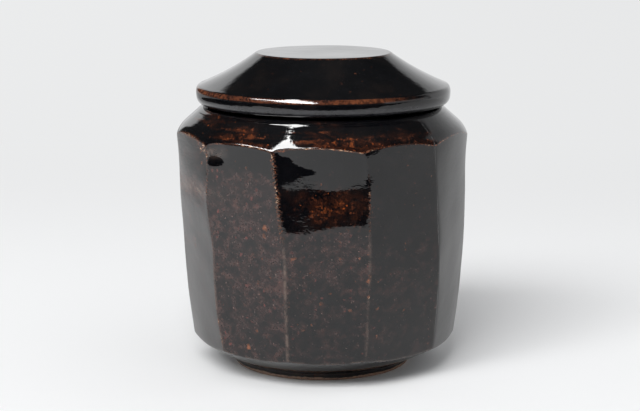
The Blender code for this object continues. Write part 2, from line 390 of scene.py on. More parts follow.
def jar_column(facet, share):
    """One column of the outside: mouth, shoulder, facet, undercut, foot. Also where its joins are."""
    heights = np.linspace(96.5, 84.0, 700)
    points = facet_points(facet, share, heights)
    radius = np.linalg.norm(points[:, :2], axis=1)
    thrown = np.interp(heights, upper_line[::-1, 1], upper_line[::-1, 0])
    top = crossing(heights[::-1], (thrown - radius)[::-1] * -1)
    heights = np.linspace(4.5, 15.0, 500)
    points = facet_points(facet, share, heights)
    radius = np.linalg.norm(points[:, :2], axis=1)
    sines = points[:, 0] / radius
    thrown = np.interp(heights, undercut_line[::-1, 1], undercut_line[::-1, 0])
    low = crossing(heights, thrown + lean_at(heights, sines) - radius)

    sides = facet_points(facet, share, np.linspace(top, low, 560))
    turn_top = math.atan2(sides[0, 0], -sides[0, 1])
    turn_low = math.atan2(sides[-1, 0], -sides[-1, 1])
    stop = shoulder_start + int(np.argmax(upper_line[shoulder_start:, 1] <= top + 0.02))
    upper_radius = upper_line[:stop, 0]
    head = np.stack([
        upper_radius * math.sin(turn_top), -upper_radius * math.cos(turn_top), upper_line[:stop, 1]
    ], axis=1)
    start = int(np.argmax(undercut_line[:, 1] <= low - 0.02))
    lower = np.concatenate([undercut_line[start:], foot_line[1:]])
    reach = lower[:, 0] + lean_at(lower[:, 1], math.sin(turn_low))
    tail = np.stack([reach * math.sin(turn_low), -reach * math.cos(turn_low), lower[:, 1]], axis=1)
    line = np.concatenate([head, sides, tail])
    length = along(line)
    return line, length, length[len(head)], length[len(head) + len(sides) - 1]


FINE, SOFT, SOFT_REACH = 0.14, 0.34, 9


def softened(line, length):
    """The column with its corners rounded, at a fine even spacing."""
    even = np.linspace(0, length[-1], int(round(length[-1] / FINE)))
    return even, blurred(sampled(line, length, even), FINE, SOFT, SOFT_REACH)


# Rows of a column, as distances along it: close together at the mouth, at the ring under the lid
# and at each side of the two joins
NEAR = np.array((0.12, 0.26, 0.42, 0.62, 0.9, 1.3, 1.85))
MOUTH_PART = np.array((0.0, 1.6, 3.2, 3.9, 4.15, 4.4, 4.65, 4.9, 5.15, 5.5, 6.3, 7.3, 8.2, 8.8, 9.1, 9.35,
                       9.6, 9.85, 10.1))
RING_Z = 97.15
RING_PLACE = float(np.interp(-RING_Z, -upper_line[shoulder_start:, 1], along(upper_line)[shoulder_start:]))
NEAR_RING = np.array((-2.2, -1.6, -1.0, -0.6, -0.3, -0.15, -0.05, 0.03, 0.09, 0.15, 0.21, 0.27, 0.33,
                      0.42, 0.6, 0.9))
grid_rows, place_rows, joins = [], [], []
for facet, share in zip(column_facet, column_share):
    line, length, top_join, low_join = jar_column(int(facet), float(share))
    even, soft = softened(line, length)
    places = np.concatenate([
        MOUTH_PART,
        RING_PLACE + NEAR_RING,
        np.linspace(RING_PLACE + NEAR_RING[-1], top_join - NEAR[-1], 34)[1:],
        top_join - NEAR[-2::-1],
        [top_join],
        top_join + NEAR,
        np.linspace(top_join + NEAR[-1], low_join - NEAR[-1], 92)[1:],
        low_join - NEAR[-2::-1],
        [low_join],
        low_join + NEAR,
        np.linspace(low_join + NEAR[-1], length[-1], 90)[1:],
    ])
    grid_rows.append(sampled(soft, even, places))
    place_rows.append(places)
    joins.append((top_join, low_join))
jar_grid = np.array(grid_rows)

# Values painted along the columns: which part a point is on, and how near to an edge
places = np.array(place_rows)
from_top, from_low = (places - joined[:, None] for joined in np.array(joins).T)
height = jar_grid[:, :, 2]
turn = np.degrees(np.arctan2(jar_grid[:, :, 0], -jar_grid[:, :, 1]))
angle = np.radians(turn)
on_side = smooth(-0.3, 0.3, from_top) * (1 - smooth(-0.3, 0.3, from_low))


def by_height(levels):
    return curve(levels, height.ravel()).reshape(height.shape)


def from_ridge(ridge):
    """Level distance of each point from a ridge."""
    spot = ridge_point(ridge, height.ravel()).reshape(*height.shape, 2)
    return np.linalg.norm(jar_grid[:, :, :2] - spot, axis=2)


# How strongly the glaze breaks to brown on each ridge, by height, and the width of the line; the strongest
# breaks carry painted cream glints
RIDGE_BREAKS = {
    0: (((0, 0.0), (20, 0.4), (30, 0.35), (60, 0.7), (80, 0.95), (84, 1.15), (90, 1.2)), 0.58),
    1: (((0, 0.0), (46, 0.0), (55, 0.45), (61, 0.95), (84, 1.05), (90, 1.3)), 1.3),
    2: (((0, 0.0), (50, 0.05), (59, 0.6), (63, 0.95), (75, 0.8), (80, 0.5), (90, 0.45)), 0.56),
    3: (((0, 0.05), (60, 0.08), (84, 0.12), (90, 0.35)), 0.4),
    4: (((0, 0.2), (90, 0.35)), 0.45),
    10: (((0, 0.2), (60, 0.3), (84, 0.5), (90, 0.9)), 0.45),
}
OTHER_BREAKS = (((0, 0.25), (40, 0.55), (90, 0.9)), 0.5)
ridge_break_and_glint = np.zeros_like(height)
for ridge in range(FACETS):
    levels, width = RIDGE_BREAKS.get(ridge, OTHER_BREAKS)
    line = by_height(levels) * bump(from_ridge(ridge), 0, width)
    ridge_break_and_glint = np.maximum(ridge_break_and_glint, line * on_side)

# Single dots on the low part of the ridges, a brown break around a painted cream glint: (ridge, height)
GLINT_DOTS = ((2, 43.2), (2, 35.6), (0, 15.5), (0, 23.0))
for ridge, level in GLINT_DOTS:
    glint_dot = bump(np.hypot(from_ridge(ridge) / 0.55, (height - level) / 0.85), 0, 1)
    ridge_break_and_glint = np.maximum(ridge_break_and_glint, 2.3 * glint_dot * on_side)

# The same on the scalloped edge of the shoulder, the low edge and the foot, and the bare clay
edge_width = 0.48 + 0.62 * bump(turn, -60, 14) + 0.75 * bump(turn, -14.6, 1.9)
# Stronger towards the front, where the break carries painted cream glints
edge_strength = 0.95 + 0.2 * np.sin(angle * 9) + 0.25 * bump(turn, -62, 13) + 0.35 * bump(turn, -2, 15)
edge_break_and_glint = bump(from_top - 0.2 * (edge_width - 0.42), 0, edge_width) * edge_strength
low_break = bump(from_low, 0, 0.55) * 0.35
clay = 1 - smooth(1.0, 1.6, height + 0.25 * np.sin(angle * 7) * np.sin(angle * 3 + 1))
outer = smooth(30.0, 31.0, np.linalg.norm(jar_grid[:, :, :2], axis=2))
foot_break = 0.72 * bump(height, 2.3, 0.65) * outer * (0.8 + 0.2 * np.sin(angle * 5 + 2))
low_break = np.maximum(low_break, foot_break)
shoulder = (1 - smooth(-0.3, 0.3, from_top)) * smooth(9.0, 11.0, places)

# How mottled and how orange the glaze is, facet by facet, and round the shoulder by (turn, amount)
facet_of = column_facet[:, None]
share_on = column_share[:, None]
MOTTLES = (0.72, 0.62, 0.46, 0.3, 0.3, 0.5, 0.6, 0.7, 0.45, 0.6, 0.55)
mottle = np.array(MOTTLES)[column_facet][:, None] * (1 - 0.10 * smooth(50, 25, height))
front_gap = 0.38 * smooth(59, 62, height) * (1 - 1.5 * bump(share_on, 0.58, 0.42) * bump(height, 69.0, 8.0))
mottle = np.where(facet_of == FRONT, mottle - front_gap, mottle)
mottle = np.where(facet_of == LEFT, mottle * (0.25 + 0.75 * smooth(84, 79, height)), mottle)
mottle = np.where(facet_of == RIGHT, mottle * (0.75 + 0.45 * smooth(62, 38, height)), mottle)
mottle = np.where(facet_of == FAR_LEFT, mottle + 0.6 * bump(height, 71, 3.5), mottle)
SHOULDER_MOTTLES = ((-180, 0.6), (-120, 0.5), (-80, 0.25), (-68, 0.16), (-56, 0.16), (-46, 0.45),
                    (-36, 0.85), (-26, 0.75), (-19, 0.3), (-13, 0.3), (-6, 0.8), (6, 0.9), (16, 0.72),
                    (30, 0.60), (48, 0.52), (58, 0.15), (100, 0.2), (130, 0.55), (180, 0.6))
wander = 5.0 * np.sin(places * 1.3) + 3.0 * np.sin(places * 2.9 + angle * 4)
on_shoulder = curve(SHOULDER_MOTTLES, (turn + wander).ravel()).reshape(turn.shape)
on_shoulder = on_shoulder * (0.45 + 0.55 * smooth(-8.5, -4.5, from_top + 0.12 * wander))
under_lid = 0.68 * bump(turn + wander, -57, 16) * smooth(-5.0, -7.0, from_top)
mottle = mottle * on_side + shoulder * np.maximum(on_shoulder, under_lid)
in_patch = smooth(58.5, 60.5, height) * smooth(76.5, 74.8, height) * (facet_of == FRONT)
warm_front = in_patch * (0.62 + 0.38 * bump(height, 68.5, 5.5) * bump(share_on, 0.56, 0.30))
warm_side = np.maximum(0.10 + 0.25 * smooth(45, 70, height), warm_front)
glow_share = 0.25 + 0.75 * np.minimum(1, np.maximum(on_shoulder, 1.3 * under_lid))
warmth = warm_side * on_side + shoulder * glow_share

# Painted grey sheen low on the ridges and on the low edge, and paler grey smears on two facets
RIDGE_SHEEN = {
    0: ((0, 0.75), (50, 0.7), (62, 0.2), (90, 0)),
    1: ((0, 1.0), (48, 1.0), (56, 0.2), (90, 0)),
    2: ((0, 0.5), (55, 0.5), (62, 0.1), (90, 0)),
    10: ((0, 0.5), (90, 0.3)),
}
sheen_and_smear = np.zeros_like(height)
for ridge, levels in RIDGE_SHEEN.items():
    line = by_height(levels) * bump(from_ridge(ridge), 0, 0.55)
    sheen_and_smear = np.maximum(sheen_and_smear, line * on_side)
# Painted grey sheen along the low edge
sheen_and_smear = np.maximum(sheen_and_smear, 0.7 * bump(from_low, 0, 0.5) * (0.6 + 0.4 * np.sin(angle * 31)))
patchy = 0.6 + 0.4 * np.sin(share_on * 23 + height * 2.1)
smear = bump(height + 0.5 * np.sin(share_on * 9), 70.8, 2.2) * patchy
smear = smear * ((facet_of == FAR_LEFT) * 1.5 + (facet_of == LEFT) * 0.5 * smooth(0.35, 0.05, share_on))
sheen_and_smear = np.maximum(sheen_and_smear, smear * on_side)
high_smear = bump(height + 0.4 * np.sin(share_on * 17), 86.2, 1.5) * smooth(0.42, 0.08, share_on)
sheen_and_smear = np.maximum(sheen_and_smear, 0.85 * high_smear * (facet_of == LEFT) * on_side)

# Brown corner beside the top of ridge 0
corner = smooth(0.66, 0.95, share_on) * smooth(82.5, 86.8, height) * (facet_of == FAR_LEFT)
ridge_break_and_glint = np.maximum(ridge_break_and_glint, 1.3 * corner * on_side)

# Along the normals: soft unevenness of the clay, faint throwing rings, and a lip of glaze under the lid
middle_row = jar_grid.shape[1] // 2
normals = normals_of(jar_grid, middle_row, jar_grid[0, middle_row] * (1, 1, 0))
broad, fine = Swell(9, 14, 34), Swell(14, 4, 9)
flat_points = jar_grid.reshape(-1, 3)
rings = 0.003 * np.sin(places * 2.6) * shoulder * smooth(0.5, 2.0, -from_top)
relief = (0.035 * broad(flat_points) + 0.006 * fine(flat_points)).reshape(height.shape)
relief = relief * smooth(3.0, 8.0, height) * smooth(8.5, 12.0, places) * (1 - 0.6 * shoulder)
ring_share = np.minimum(1, 1.3 * bump(turn, -9.0, 16)) * (1 + 0.10 * np.sin(angle * 47))
swelling = bump(turn, -8.5 + 0.8 * np.sin(places * 9), 3.6)
from_ring = places - RING_PLACE
ring_lip = (0.15 + 0.16 * swelling) * smooth(0.34 + 0.62 * swelling, 0, from_ring)
ring_lip = ring_lip * smooth(-2.2, -0.3, from_ring) * (0.3 + 0.7 * ring_share)
jar_grid = jar_grid + normals * (relief + rings + ring_lip)[:, :, None]

inside_top = RIDGE_R * math.cos(math.pi / FACETS) - WALL
inside_low = LOW_R * math.cos(math.pi / FACETS) - WALL
inside_line = respaced(outline([
    (0.8, INSIDE_FLOOR_Z, 0),
    (inside_low, INSIDE_FLOOR_Z, 9.0),
    (inside_top, RIDGE_Z - 2.0, 7.0),
    (MOUTH_R, NECK_Z, 0),
]), 2.0)[:-1]
turns = np.arctan2(jar_grid[:, 0, 0], -jar_grid[:, 0, 1])[:, None]
inside = turned(inside_line, turns)
whole = np.concatenate([inside, jar_grid], axis=1)
blank_values = np.zeros(inside.shape[:2])


def with_inside(values):
    return np.concatenate([blank_values, values], axis=1)


jar = ring_mesh("stoneware_jar", whole, {
    "ridge_break_and_glint": with_inside(ridge_break_and_glint),
    "edge_break_and_glint": with_inside(np.maximum(edge_break_and_glint, low_break)),
    "clay": with_inside(clay * outer),
    "shoulder": with_inside(shoulder),
    "mottle": with_inside(mottle),
    "warmth": with_inside(warmth),
    "sheen_and_smear": with_inside(sheen_and_smear),
}, low_pole=(0, 0, INSIDE_FLOOR_Z), high_pole=(0, 0, RECESS_Z))

# Lid: flat disc, cone, rim, seat, flange and hollow underside
LID_TOP = 118.5
LID_R, EDGE_Z = 48.0, SEAT_Z + 7.1
DISC_R = 25.2
CONE_BOW = 0.72
RIM_PROFILE = ((46.98, 106.46), (47.34, 106.16), (47.57, 105.84), (47.86, 104.95), (47.97, 104.3),
               (47.97, 103.5), (47.93, 102.8), (47.85, 102.0), (47.62, 101.2), (47.25, 100.55),
               (46.70, 100.0), (45.90, 99.5), (44.60, 99.15))
LID_SEAT_R = LID_R - 5.5
FLANGE_R, FLANGE_IN, FLANGE_Z = 38.5, 35.0, SEAT_Z - 6.0
LID_WALL = 5.0
LID_FINE, LID_SOFT, LID_SOFT_REACH = 0.14, 0.15, 3
LID_COLUMNS = 320
DISH, DISH_R, OFF_CENTRE = 0.10, 23.0, 0.5

cone_start, cone_end = np.array((DISC_R, LID_TOP)), np.array((LID_R, EDGE_Z))
cone_way = cone_end - cone_start
cone_in = np.array((cone_way[1], -cone_way[0])) / np.linalg.norm(cone_way)
cone = [
    cone_start + cone_way * t + cone_in * CONE_BOW * 4 * t * (1 - t)
    for t in np.linspace(0.1, 0.90, 14)
]
slope = math.atan2(-cone_way[1], cone_way[0])
hollow_side = LID_TOP - (FLANGE_IN - DISC_R) * math.tan(slope) - LID_WALL / math.cos(slope)
lid_line = respaced(outline([
    (0.6, LID_TOP, 0),
    (DISC_R, LID_TOP, 0.8),
    *[(*point, 0) for point in cone],
    *[(*point, 0) for point in RIM_PROFILE],
    (LID_SEAT_R, SEAT_Z, 0),
    (FLANGE_R, SEAT_Z, 0),
    (FLANGE_R, FLANGE_Z, 1.0),
    (FLANGE_IN, FLANGE_Z, 1.0),
    (FLANGE_IN, hollow_side, 6.0),
    (DISC_R - LID_WALL * math.tan(slope / 2), LID_TOP - LID_WALL, 6.0),
    (0.6, LID_TOP - LID_WALL, 0),
]), LID_FINE)
lid_line = blurred(lid_line, LID_FINE, LID_SOFT, LID_SOFT_REACH)
lid_length = along(lid_line)

# Rows of the lid: close together at both ends of the cone, less so on the rim, wider elsewhere
keep = [0]
for index in range(1, len(lid_line)):
    radius, level = lid_line[index]
    on_rim = radius > 24 and SEAT_Z - 0.5 < level < EDGE_Z
    near = min(np.linalg.norm(lid_line[index] - spot) for spot in (cone_start, cone_end))
    spacing = 0.13 if near < 1.6 else 0.4 if on_rim else 0.9
    if lid_length[index] - lid_length[keep[-1]] >= spacing * 0.99 or index == len(lid_line) - 1:
        keep.append(index)
lid_line = lid_line[keep]
lid_turns = np.linspace(0, 2 * np.pi, LID_COLUMNS, endpoint=False)[:, None]
lid_grid = turned(lid_line, lid_turns)
lid_radius = lid_line[:, 0] + 0 * lid_turns
lid_height = lid_line[:, 1] + 0 * lid_turns


def nearest_row(spot):
    return int(np.argmin(np.linalg.norm(lid_line - spot, axis=1)))


top_side = (np.arange(len(lid_line)) <= nearest_row((LID_SEAT_R, SEAT_Z))) + 0 * lid_turns
lid_normals = normals_of(lid_grid, 3, (0, 0, 1))
broad, fine = Swell(9, 16, 40), Swell(12, 5, 10)
points = lid_grid.reshape(-1, 3)
wavy = (0.03 * broad(points) + 0.004 * fine(points)).reshape(lid_height.shape)
dish = -DISH * (1 - smooth(0, DISH_R, lid_radius)) * (lid_height > LID_TOP - 1)
lid_grid = lid_grid + lid_normals * (wavy * top_side)[:, :, None]
lid_grid[:, :, 2] += dish * top_side
lid_grid[:, :, 0] += OFF_CENTRE

# Brown line at the disc's edge, warm strip round the top of the rim, painted grey sheen on a band low on
# the rim
disc_edge = bump(np.hypot(lid_radius - DISC_R - 0.45, lid_height - LID_TOP + 0.3), 0, 0.62) * top_side
rim_place = along(lid_line) - along(lid_line)[nearest_row(cone_end)]
rim_turn = (np.degrees(lid_turns) + 180) % 360 - 180
rim_fade = 1 - 0.75 * bump(rim_turn, 62, 38)
rim_edge = smooth(-0.75, -0.15, rim_place) * smooth(1.8, 1.0, rim_place) * rim_fade * top_side
rim_sheen = smooth(3.0, 3.8, rim_place) * smooth(6.4, 5.4, rim_place) * top_side

lid = ring_mesh("stoneware_lid", lid_grid, {
    "disc_edge": disc_edge,
    "rim_edge": rim_edge,
    "rim_sheen": rim_sheen,
    "outside": top_side,
}, low_pole=(OFF_CENTRE, 0, LID_TOP - DISH), high_pole=(OFF_CENTRE, 0, LID_TOP - LID_WALL))

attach(jar, "jar")
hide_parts("jar")
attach(lid, "lid")
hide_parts("lid")


class Graph:
    """Short calls for building a node tree."""

    def __init__(self, tree):
        self.tree = tree
        tree.nodes.clear()

    def node(self, kind, values=None, **settings):
        made = self.tree.nodes.new(kind)
        for key, value in settings.items():
            setattr(made, key, value)
        for key, value in (values or {}).items():
            socket = made.inputs[key]
            if isinstance(value, bpy.types.NodeSocket):
                self.tree.links.new(value, socket)
            else:
                socket.default_value = value
        return made

    def math(self, operation, a, b=0.0, clamp=False):
        return self.node("ShaderNodeMath", {0: a, 1: b}, operation=operation, use_clamp=clamp).outputs[0]

    def plus(self, a, b, clamp=False):
        return self.math("ADD", a, b, clamp)

    def minus(self, a, b):
        return self.math("SUBTRACT", a, b)

    def times(self, a, b):
        return self.math("MULTIPLY", a, b)

    def larger(self, a, b):
        return self.math("MAXIMUM", a, b)

    def centred(self, value, size):
        """A value from 0 to 1, made to swing about zero."""
        return self.times(self.minus(value, 0.5), size)

    def ramp(self, value, low, high, start=0.0, end=1.0):
        made = self.node("ShaderNodeMapRange", {
            "Value": value, "From Min": low, "From Max": high, "To Min": start, "To Max": end,
        }, interpolation_type="SMOOTHSTEP")
        return made.outputs[0]

    def between(self, share, first, second):
        """Mix of two numbers."""
        return self.node("ShaderNodeMix", {0: share, 2: first, 3: second}).outputs[0]

    def blend(self, share, first, second):
        """Mix of two colours."""
        return self.node("ShaderNodeMix", {0: share, 6: first, 7: second}, data_type="RGBA").outputs[2]

    def painted(self, name):
        return self.node("ShaderNodeAttribute", attribute_name=name).outputs["Fac"]

    def stretched(self, vector, scale):
        return self.node("ShaderNodeMapping", {"Vector": vector, "Scale": scale}).outputs[0]

    def noise(self, vector, scale, detail=2.0, rough=0.5):
        return self.node("ShaderNodeTexNoise", {
            "Vector": vector, "Scale": scale, "Detail": detail, "Roughness": rough,
        }).outputs["Fac"]

    def cells(self, vector, scale):
        return self.node("ShaderNodeTexVoronoi", {"Vector": vector, "Scale": scale})


def new_material(name):
    material = bpy.data.materials.new(name)
    material.use_nodes = True
    return material, Graph(material.node_tree)


def rgb(red, green, blue):
    return (red, green, blue, 1.0)


BLACK = rgb(0.0014, 0.0016, 0.0024)
SOOT = rgb(0.0060, 0.0046, 0.0046)
BROWN = rgb(0.040, 0.0190, 0.0150)
UMBER = rgb(0.042, 0.0115, 0.0050)
GAP = rgb(0.022, 0.0075, 0.0045)
MAUVE = rgb(0.095, 0.042, 0.034)
ROSE = rgb(0.105, 0.030, 0.026)
RUST = rgb(0.150, 0.038, 0.010)
EMBER = rgb(0.380, 0.085, 0.016)
AMBER = rgb(0.260, 0.085, 0.036)
BREAK = rgb(0.150, 0.053, 0.027)
GLINT_CREAM = rgb(0.560, 0.360, 0.230)
SHEEN_AND_SMEAR_GREY = rgb(0.115, 0.080, 0.066)
RIM_DARK = rgb(0.070, 0.024, 0.015)
RIM_WARM = rgb(0.170, 0.054, 0.023)
RIM_SHEEN_GREY = rgb(0.030, 0.030, 0.034)
FILM = rgb(0.0036, 0.0038, 0.0048)
VEIL = rgb(0.037, 0.0170, 0.0160)
PINK = rgb(0.170, 0.110, 0.098)
CLAY = rgb(0.330, 0.200, 0.130)
EARTH = rgb(0.15, 0.080, 0.050)
GLAZE_IOR = 1.6
CLAY_ROUGHNESS = 0.75
BUMP_DEPTH = 0.000035
PAPER = rgb(0.915, 0.92, 0.925)
BACKDROP = rgb(0.985, 0.993, 1.0)
ROOM = rgb(0.985, 0.99, 1.0)

# Motes in the haze: cells per metre, how few they are, how large, colour
MOTES = ((1150.0, 0.66, 0.34, PINK), (480.0, 0.66, 0.40, ROSE), (300.0, 0.80, 0.36, AMBER))


def glaze(name, jar_body):
    material, g = new_material(name)
    place = g.node("ShaderNodeTexCoord").outputs["Object"]
    warp = g.node("ShaderNodeTexNoise", {"Vector": place, "Scale": 420.0, "Detail": 2.0}).outputs["Color"]
    shifted = g.node("ShaderNodeVectorMath", {0: warp, 1: (0.5, 0.5, 0.5)}, operation="SUBTRACT").outputs[0]
    nudge = g.node("ShaderNodeVectorMath", {0: shifted, "Scale": 0.0018}, operation="SCALE").outputs[0]
    crooked = g.node("ShaderNodeVectorMath", {0: place, 1: nudge}, operation="ADD").outputs[0]

    cloud = g.noise(place, 85.0, 3.0, 0.55)
    patch = g.noise(crooked, 480.0, 3.5, 0.66)
    grain = g.noise(crooked, 900.0, 3.0, 0.65)
    if jar_body:
        amount = g.painted("mottle")
        warmth = g.painted("warmth")
        shoulder = g.painted("shoulder")
        band = g.noise(g.stretched(crooked, (1.0, 1.0, 2.6)), 260.0, 3.5, 0.66)
        field = g.between(shoulder, patch, band)
    else:
        amount = g.times(g.painted("outside"), 0.16)
        warmth = g.times(cloud, 0.9)
        field = patch
    local = g.plus(amount, g.centred(cloud, 0.7), clamp=True)
    gate = g.minus(0.82, g.times(local, 0.38))
    over = g.minus(field, gate)
    stain = g.ramp(over, -0.10, 0.10)
    core = g.ramp(over, 0.02, 0.20)
    blots = g.noise(crooked, 340.0, 3.0, 0.55)
    blot_over = g.minus(blots, g.ramp(local, 0.0, 1.0, 0.76, 0.585))
    blot = g.ramp(blot_over, -0.03, 0.15)
    heart = g.ramp(blot_over, 0.04, 0.22)

    colour = g.blend(g.ramp(cloud, 0.35, 0.7), BLACK, SOOT)
    colour = g.blend(stain, colour, g.blend(warmth, BROWN, UMBER))
    tint = g.blend(warmth, MAUVE, RUST)
    colour = g.blend(g.times(core, g.ramp(grain, 0.32, 0.62, 0.15, 0.9)), colour, tint)
    if jar_body:
        glow = g.ramp(g.noise(crooked, 230.0, 3.0, 0.6), 0.40, 0.66)
        glow = g.times(glow, g.ramp(g.times(warmth, local), 0.10, 0.60, 0.0, 0.36))
        colour = g.blend(glow, colour, UMBER)
    colour = g.blend(g.times(blot, 0.85), colour, tint)
    colour = g.blend(g.times(heart, g.ramp(warmth, 0.0, 0.8, 0.2, 0.85)), colour, EMBER)

    spots = g.cells(crooked, 900.0)
    draw = g.node("ShaderNodeSeparateColor", {0: spots.outputs["Color"]})
    reach = g.times(g.ramp(draw.outputs[0], 0.62, 1.0), g.ramp(local, 0.0, 0.9, 0.05, 0.42))
    fleck = g.ramp(g.minus(reach, spots.outputs["Distance"]), -0.06, 0.22)
    shine = g.times(g.ramp(draw.outputs[1], 0.35, 1.0), g.ramp(warmth, 0.0, 1.0, 0.30, 1.0))
    speck = g.blend(shine, tint, EMBER)
    colour = g.blend(g.times(fleck, 0.7), colour, speck)

    # The paler haze on the cut sides: soft, pinkish and fine
    calm = g.plus(amount, g.centred(cloud, 0.3), clamp=True)
    film = g.ramp(g.noise(place, 130.0, 4.0, 0.6), 0.40, 0.75)
    dull = g.blend(film, BLACK, FILM)
    veil = g.noise(g.stretched(place, (0.8, 0.8, 1.0)), 380.0, 5.0, 0.66)
    drift = g.noise(g.stretched(place, (1.0, 1.0, 0.7)), 95.0, 3.0, 0.6)
    thick = g.plus(g.times(g.minus(calm, 0.70), 0.55), g.centred(drift, 0.30))
    veil = g.ramp(g.plus(veil, thick), 0.36, 0.76)
    dull = g.blend(g.times(veil, g.ramp(calm, 0.0, 0.45)), dull, VEIL)
    dust = g.ramp(g.noise(place, 1000.0, 3.0, 0.6), 0.46, 0.70)
    dust = g.times(dust, g.times(g.ramp(calm, 0.0, 1.0, 0.0, 0.4), veil))
    dull = g.blend(dust, dull, PINK)
    blush = g.ramp(g.noise(crooked, 250.0, 2.0, 0.5), 0.55, 0.72)
    dull = g.blend(g.times(blush, g.ramp(calm, 0.2, 1.0, 0.0, 0.55)), dull, MAUVE)
    for scale, least, most, drawn in MOTES:
        motes = g.cells(crooked if scale < 1000 else place, scale)
        lot = g.node("ShaderNodeSeparateColor", {0: motes.outputs["Color"]})
        size = g.times(g.ramp(lot.outputs[0], least, 1.0), g.ramp(calm, 0.1, 0.9, 0.0, most))
        away = g.plus(motes.outputs["Distance"], g.centred(grain, 0.5))
        mote = g.ramp(g.minus(size, away), -0.12, 0.20)
        dull = g.blend(g.times(mote, g.ramp(lot.outputs[1], 0.0, 1.0, 0.45, 1.0)), dull, drawn)
    vivid = g.ramp(warmth, 0.30, 0.62)
    colour = g.blend(vivid, dull, colour)

    # Breaks on the edges: a ragged brown line, beaded on the ridges, with painted cream glints where it is
    # strongest
    beads = g.noise(crooked, 1000.0, 2.0, 0.6)
    chain = g.noise(place, 430.0, 2.0, 0.5)
    if jar_body:
        ridge = g.painted("ridge_break_and_glint")
        edge = g.painted("edge_break_and_glint")
        line = g.larger(ridge, edge)
        # Painted grey sheen on the low ridges and the low edge, and paler grey smears
        worn = g.painted("sheen_and_smear")
        colour = g.blend(g.times(worn, g.ramp(chain, 0.36, 0.62, 0.25, 1.0)), colour, SHEEN_AND_SMEAR_GREY)
    else:
        disc = g.painted("disc_edge")
        rim = g.painted("rim_edge")
        line = g.times(disc, 0.8)
    swing = g.plus(g.minus(beads, 0.5), g.centred(chain, 1.1))
    ragged = g.plus(line, g.times(swing, 1.2))
    if jar_body:
        rise = g.node("ShaderNodeSeparateXYZ", {0: crooked}).outputs["Z"]
        twist = g.plus(g.times(rise, 3900.0), g.times(chain, 26.0))
        knots = g.ramp(g.math("SINE", twist), -0.75, 0.35, -0.55, 0.12)
        ragged = g.plus(ragged, g.times(knots, g.ramp(g.minus(ridge, edge), -0.1, 0.2)))
    run = g.times(g.ramp(ragged, 0.45, 0.80), g.ramp(line, 0.06, 0.25))
    dark_break = g.blend(g.ramp(beads, 0.34, 0.54), g.blend(g.ramp(grain, 0.40, 0.64), BREAK, RUST), GAP)
    colour = g.blend(run, colour, dark_break)
    # Painted cream glints where the break is strongest
    light = g.times(g.ramp(ragged, 1.00, 1.30), g.ramp(grain, 0.48, 0.64))
    colour = g.blend(light, colour, GLINT_CREAM)
    if not jar_body:
        soft_rim = g.plus(rim, g.times(swing, 0.55))
        band = g.times(g.ramp(soft_rim, 0.30, 0.85), g.ramp(rim, 0.02, 0.3))
        wash = g.blend(g.ramp(g.noise(place, 60.0, 2.0), 0.38, 0.62), RIM_DARK, RIM_WARM)
        wash = g.blend(g.ramp(beads, 0.42, 0.60, 0.0, 0.75), wash, SOOT)
        wash = g.blend(g.ramp(grain, 0.5, 0.75, 0.0, 0.7), wash, RUST)
        colour = g.blend(g.times(band, 0.92), colour, wash)
        run = g.larger(run, g.times(band, 0.35))
        # Painted grey sheen on a band low on the rim
        uneven = g.ramp(g.noise(crooked, 300.0, 3.0, 0.6), 0.3, 0.7, 0.5, 1.0)
        pale = g.times(g.painted("rim_sheen"), uneven)
        colour = g.blend(pale, colour, RIM_SHEEN_GREY)

    rough = g.ramp(grain, 0.3, 0.8, 0.035, 0.075)
    rough = g.plus(rough, g.times(g.larger(run, g.times(core, 0.6)), 0.12))
    if jar_body:
        bare = g.painted("clay")
        clay_grain = g.noise(place, 1500.0, 3.0, 0.65)
        earth = g.blend(g.ramp(clay_grain, 0.3, 0.7), EARTH, CLAY)
        bare = g.ramp(g.plus(bare, g.centred(beads, 0.5)), 0.4, 0.6)
        colour = g.blend(bare, colour, earth)
        rough = g.between(bare, rough, CLAY_ROUGHNESS)

    # Orange peel, pits, marks of the dragged blade, and the thicker flecks and breaks
    peel = g.noise(place, 480.0, 2.0, 0.5)
    pits = g.noise(crooked, 1500.0, 1.0, 0.5)
    drag = g.noise(g.stretched(place, (0.30, 0.30, 1.0)), 900.0, 2.0, 0.55)
    relief = g.times(peel, 0.7)
    for part, weight in ((pits, 0.16), (drag, 0.45), (fleck, 0.12), (run, 0.30)):
        relief = g.plus(relief, g.times(part, weight))
    lumps = g.node("ShaderNodeBump", {"Height": relief, "Strength": 1.0, "Distance": BUMP_DEPTH}).outputs[0]
    shader = g.node("ShaderNodeBsdfPrincipled", {
        "Base Color": colour,
        "Roughness": rough,
        "IOR": GLAZE_IOR,
        "Normal": lumps,
    })
    g.node("ShaderNodeOutputMaterial", {"Surface": shader.outputs[0]})
    return material


jar.data.materials.append(glaze("jar_glaze_iron", True))
lid.data.materials.append(glaze("lid_glaze_iron", False))


def flat_object(name, corners):
    """Object with one flat face."""
    mesh = bpy.data.meshes.new(name)
    mesh.from_pydata(corners, [], [tuple(range(len(corners)))])
    return add_object(name, mesh)


def rectangle(left, front, right, back, z):
    return [(left, front, z), (right, front, z), (right, back, z), (left, back, z)]


